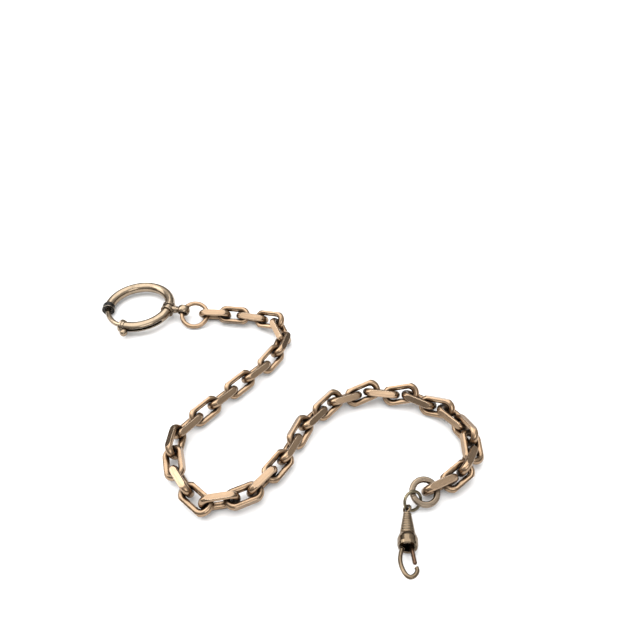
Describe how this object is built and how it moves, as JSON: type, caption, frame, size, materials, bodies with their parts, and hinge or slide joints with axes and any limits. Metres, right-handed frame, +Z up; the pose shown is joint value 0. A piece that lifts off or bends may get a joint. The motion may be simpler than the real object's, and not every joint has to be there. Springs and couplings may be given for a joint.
{
  "type": "pocket watch chain",
  "caption": "Curb-style pocket watch chain of filed oval links with a sprung bolt ring at one end and a swivel clip with a hinged gate at the other.",
  "frame": {"origin": "middle of the chain's footprint as it lies on the table, at table height", "axes": "+X along the longest extent, from the spring ring's end to the clip's side; +Y away from the clip's hook; +Z up from the table"},
  "size_m": [0.1088, 0.1018, 0.0066],
  "materials": {
    "link_metal": "worn satin, darkened in the recesses",
    "ring_metal": "worn satin",
    "socket_metal": "blackened",
    "swivel_metal": "worn, darkened in the recesses",
    "jump_metal": "worn polish",
    "flat_metal": "worn satin",
    "small_metal": "dull greenish",
    "clip_metal": "bronzed, worn bright on the ridges",
    "gate_metal": "bronzed reddish brown",
    "spring_steel": "drawn wire"
  },
  "bodies": {
    "spring_ring": {"ring_tube": "ring_metal", "mouth_ferrule": "ring_metal", "socket_collar": "socket_metal", "spring_stop": "ring_metal", "swivel_collar": "swivel_metal", "bolt_spring": "spring_steel"},
    "bolt": {"ring_bolt": "ring_metal", "thumb_knob": "swivel_metal"},
    "swivel": {"swivel_eye": "swivel_metal"},
    "jump_ring": {"jump_ring": "jump_metal"},
    "link_01": {"link_01": "link_metal"},
    "link_02": {"link_02": "link_metal"},
    "link_03": {"link_03": "link_metal"},
    "link_04": {"link_04": "link_metal"},
    "link_05": {"link_05": "link_metal"},
    "link_06": {"link_06": "link_metal"},
    "link_07": {"link_07": "link_metal"},
    "link_08": {"link_08": "link_metal"},
    "link_09": {"link_09": "link_metal"},
    "link_10": {"link_10": "link_metal"},
    "link_11": {"link_11": "link_metal"},
    "link_12": {"link_12": "link_metal"},
    "link_13": {"link_13": "link_metal"},
    "link_14": {"link_14": "link_metal"},
    "link_15": {"link_15": "link_metal"},
    "link_16": {"link_16": "link_metal"},
    "link_17": {"link_17": "link_metal"},
    "link_18": {"link_18": "link_metal"},
    "link_19": {"link_19": "link_metal"},
    "link_20": {"link_20": "link_metal"},
    "link_21": {"link_21": "link_metal"},
    "link_22": {"link_22": "link_metal"},
    "link_23": {"link_23": "link_metal"},
    "link_24": {"link_24": "link_metal"},
    "link_25": {"link_25": "link_metal"},
    "link_26": {"link_26": "link_metal"},
    "link_27": {"link_27": "link_metal"},
    "link_28": {"link_28": "link_metal"},
    "link_29": {"link_29": "link_metal"},
    "link_30": {"link_30": "link_metal"},
    "link_31": {"link_31": "link_metal"},
    "link_32": {"link_32": "link_metal"},
    "link_33": {"link_33": "link_metal"},
    "link_34": {"link_34": "link_metal"},
    "link_35": {"link_35": "link_metal"},
    "link_36": {"link_36": "link_metal"},
    "flat_ring": {"flat_ring": "flat_metal"},
    "small_ring": {"small_ring": "small_metal"},
    "clip_eye": {"clip_eye": "clip_metal"},
    "clip": {"clip_housing": "clip_metal", "clip_hook": "clip_metal", "gate_pin": "clip_metal", "gate_spring": "spring_steel", "clip_washer": "clip_metal"},
    "gate": {"clip_gate": "gate_metal"}
  },
  "joints": [
    {"name": "bolt_draw", "type": "hinge", "parent": "spring_ring", "child": "bolt", "pos_m": [-0.04297, 0.03982, 0.00258], "axis": [-0.043, 0.0076, 0.999], "range_deg": [0, 58], "stiffness_Nm_per_rad": 0.008, "springref_deg": -51.57, "deforming": ["bolt_spring"]},
    {"name": "swivel_turn", "type": "hinge", "parent": "spring_ring", "child": "swivel", "pos_m": [-0.02871, 0.0373, 0.00321], "axis": [0.9839, -0.1735, 0.0436], "continuous": true},
    {"name": "jump_ring_swing", "type": "hinge", "parent": "swivel", "child": "jump_ring", "pos_m": [-0.02871, 0.0373, 0.00321], "axis": [-0.4067, -0.828, -0.3861], "range_deg": [-40, 40]},
    {"name": "link_01_swing", "type": "hinge", "parent": "jump_ring", "child": "link_01", "pos_m": [-0.02135, 0.03606, 0.00264], "axis": [-0.0453, -0.8648, -0.5], "range_deg": [-40, 40]},
    {"name": "link_02_swing", "type": "hinge", "parent": "link_01", "child": "link_02", "pos_m": [-0.01467, 0.03563, 0.00279], "axis": [-0.0905, -0.4922, 0.8658], "range_deg": [-40, 40]},
    {"name": "link_03_swing", "type": "hinge", "parent": "link_02", "child": "link_03", "pos_m": [-0.0089, 0.03465, 0.00283], "axis": [0.1667, 0.7476, 0.6429], "range_deg": [-40, 40]},
    {"name": "link_04_swing", "type": "hinge", "parent": "link_03", "child": "link_04", "pos_m": [-0.00343, 0.03301, 0.00331], "axis": [0.4298, 0.5827, -0.6898], "range_deg": [-40, 40]},
    {"name": "link_05_swing", "type": "hinge", "parent": "link_04", "child": "link_05", "pos_m": [0.00074, 0.02979, 0.00319], "axis": [-0.6918, -0.1847, -0.6981], "range_deg": [-40, 35]},
    {"name": "link_06_swing", "type": "hinge", "parent": "link_05", "child": "link_06", "pos_m": [0.00226, 0.02423, 0.00316], "axis": [-0.6803, 0.1942, 0.7067], "range_deg": [-40, 40]},
    {"name": "link_07_swing", "type": "hinge", "parent": "link_06", "child": "link_07", "pos_m": [0.00033, 0.01824, 0.00296], "axis": [0.5838, -0.4001, 0.7065], "range_deg": [-40, 40]},
    {"name": "link_08_swing", "type": "hinge", "parent": "link_07", "child": "link_08", "pos_m": [-0.00321, 0.01299, 0.00292], "axis": [0.5273, -0.4714, -0.707], "range_deg": [-40, 40]},
    {"name": "link_09_swing", "type": "hinge", "parent": "link_08", "child": "link_09", "pos_m": [-0.0075, 0.00831, 0.00284], "axis": [-0.5316, 0.4662, -0.7071], "range_deg": [-40, 40]},
    {"name": "link_10_swing", "type": "hinge", "parent": "link_09", "child": "link_10", "pos_m": [-0.01167, 0.00352, 0.00281], "axis": [-0.5344, 0.463, 0.7071], "range_deg": [-40, 40]},
    {"name": "link_11_swing", "type": "hinge", "parent": "link_10", "child": "link_11", "pos_m": [-0.01582, -0.00129, 0.00282], "axis": [0.541, -0.4553, 0.7071], "range_deg": [-40, 40]},
    {"name": "link_12_swing", "type": "hinge", "parent": "link_11", "child": "link_12", "pos_m": [-0.01986, -0.00618, 0.00276], "axis": [0.565, -0.4268, -0.7062], "range_deg": [-40, 40]},
    {"name": "link_13_swing", "type": "hinge", "parent": "link_12", "child": "link_13", "pos_m": [-0.02321, -0.01134, 0.0032], "axis": [-0.8663, 0.0525, -0.4968], "range_deg": [-40, 40]},
    {"name": "link_14_swing", "type": "hinge", "parent": "link_13", "child": "link_14", "pos_m": [-0.02343, -0.01765, 0.00292], "axis": [-0.3464, -0.1211, 0.9302], "range_deg": [-40, 25]},
    {"name": "link_15_swing", "type": "hinge", "parent": "link_14", "child": "link_15", "pos_m": [-0.02128, -0.02354, 0.00295], "axis": [0.78, 0.5243, 0.3417], "range_deg": [-40, 40]},
    {"name": "link_16_swing", "type": "hinge", "parent": "link_15", "child": "link_16", "pos_m": [-0.01772, -0.02876, 0.00284], "axis": [0.1842, 0.2931, -0.9382], "range_deg": [-25, 40]},
    {"name": "link_17_swing", "type": "hinge", "parent": "link_16", "child": "link_17", "pos_m": [-0.01248, -0.03124, 0.0031], "axis": [0.2029, -0.9753, -0.0875], "range_deg": [-40, 40]},
    {"name": "link_18_swing", "type": "hinge", "parent": "link_17", "child": "link_18", "pos_m": [-0.00628, -0.02992, 0.00283], "axis": [0.0477, -0.0737, 0.9961], "range_deg": [-40, 30]},
    {"name": "link_19_swing", "type": "hinge", "parent": "link_18", "child": "link_19", "pos_m": [-0.00173, -0.02653, 0.00286], "axis": [-0.7451, 0.6161, 0.2556], "range_deg": [-40, 40]},
    {"name": "link_20_swing", "type": "hinge", "parent": "link_19", "child": "link_20", "pos_m": [0.00202, -0.02198, 0.00283], "axis": [-0.3624, 0.2179, -0.9062], "range_deg": [-40, 40]},
    {"name": "link_21_swing", "type": "hinge", "parent": "link_20", "child": "link_21", "pos_m": [0.00494, -0.01693, 0.00288], "axis": [0.7399, -0.3537, -0.5722], "range_deg": [-40, 40]},
    {"name": "link_22_swing", "type": "hinge", "parent": "link_21", "child": "link_22", "pos_m": [0.00752, -0.01168, 0.00297], "axis": [0.6136, -0.351, 0.7073], "range_deg": [-40, 40]},
    {"name": "link_23_swing", "type": "hinge", "parent": "link_22", "child": "link_23", "pos_m": [0.01039, -0.00666, 0.00297], "axis": [-0.531, 0.4679, 0.7065], "range_deg": [-40, 40]},
    {"name": "link_24_swing", "type": "hinge", "parent": "link_23", "child": "link_24", "pos_m": [0.01433, -0.00236, 0.00308], "axis": [-0.4401, 0.5622, -0.7002], "range_deg": [-40, 40]},
    {"name": "link_25_swing", "type": "hinge", "parent": "link_24", "child": "link_25", "pos_m": [0.01881, 0.00099, 0.00295], "axis": [0.2409, -0.6653, -0.7066], "range_deg": [-40, 30]},
    {"name": "link_26_swing", "type": "hinge", "parent": "link_25", "child": "link_26", "pos_m": [0.0239, 0.00256, 0.00321], "axis": [0.1035, -0.7148, 0.6916], "range_deg": [-40, 40]},
    {"name": "link_27_swing", "type": "hinge", "parent": "link_26", "child": "link_27", "pos_m": [0.02879, 0.00325, 0.00319], "axis": [0.1004, 0.701, 0.706], "range_deg": [-30, 40]},
    {"name": "link_28_swing", "type": "hinge", "parent": "link_27", "child": "link_28", "pos_m": [0.03415, 0.00245, 0.00323], "axis": [0.1613, 0.7071, -0.6885], "range_deg": [-40, 40]},
    {"name": "link_29_swing", "type": "hinge", "parent": "link_28", "child": "link_29", "pos_m": [0.03887, 0.00134, 0.0032], "axis": [-0.314, -0.4814, -0.8183], "range_deg": [-40, 10]},
    {"name": "link_30_swing", "type": "hinge", "parent": "link_29", "child": "link_30", "pos_m": [0.04352, -0.0015, 0.00309], "axis": [-0.4777, -0.7105, 0.5166], "range_deg": [-40, 40]},
    {"name": "link_31_swing", "type": "hinge", "parent": "link_30", "child": "link_31", "pos_m": [0.04764, -0.0043, 0.00304], "axis": [0.3615, 0.234, 0.9025], "range_deg": [-20, 40]},
    {"name": "link_32_swing", "type": "hinge", "parent": "link_31", "child": "link_32", "pos_m": [0.05021, -0.00873, 0.00316], "axis": [0.8666, 0.2779, -0.4144], "range_deg": [-35, 40]},
    {"name": "link_33_swing", "type": "hinge", "parent": "link_32", "child": "link_33", "pos_m": [0.05171, -0.01365, 0.00299], "axis": [-0.342, 0.0785, -0.9364], "range_deg": [-40, 10]},
    {"name": "link_34_swing", "type": "hinge", "parent": "link_33", "child": "link_34", "pos_m": [0.05029, -0.01846, 0.00311], "axis": [-0.8165, 0.4696, 0.336], "range_deg": [-40, 35]},
    {"name": "link_35_swing", "type": "hinge", "parent": "link_34", "child": "link_35", "pos_m": [0.04764, -0.02299, 0.00299], "axis": [0.1768, -0.2981, 0.938], "range_deg": [-20, 40]},
    {"name": "link_36_swing", "type": "hinge", "parent": "link_35", "child": "link_36", "pos_m": [0.04317, -0.02581, 0.00294], "axis": [0.4193, -0.841, -0.3419], "range_deg": [-40, 40]},
    {"name": "flat_ring_swing", "type": "hinge", "parent": "link_36", "child": "flat_ring", "pos_m": [0.03841, -0.02813, 0.00281], "axis": [0.1297, -0.3173, 0.9394], "range_deg": [-40, 40]},
    {"name": "small_ring_swing", "type": "hinge", "parent": "flat_ring", "child": "small_ring", "pos_m": [0.03589, -0.03, 0.00253], "axis": [0.5809, -0.7435, -0.3313], "range_deg": [-10, 10]},
    {"name": "clip_eye_swing", "type": "hinge", "parent": "small_ring", "child": "clip_eye", "pos_m": [0.03387, -0.03203, 0.00157], "axis": [0.6451, -0.1488, -0.7495], "range_deg": [-40, 40]},
    {"name": "clip_turn", "type": "hinge", "parent": "clip_eye", "child": "clip", "pos_m": [0.03387, -0.03203, 0.00157], "axis": [-0.0865, -0.9888, 0.1219], "continuous": true},
    {"name": "gate_press", "type": "hinge", "parent": "clip", "child": "gate", "pos_m": [0.03366, -0.04158, 0.00274], "axis": [0.0106, 0.1214, 0.9925], "range_deg": [-20, 0], "stiffness_Nm_per_rad": 0.002, "springref_deg": 28.65, "deforming": ["gate_spring"]}
  ]
}
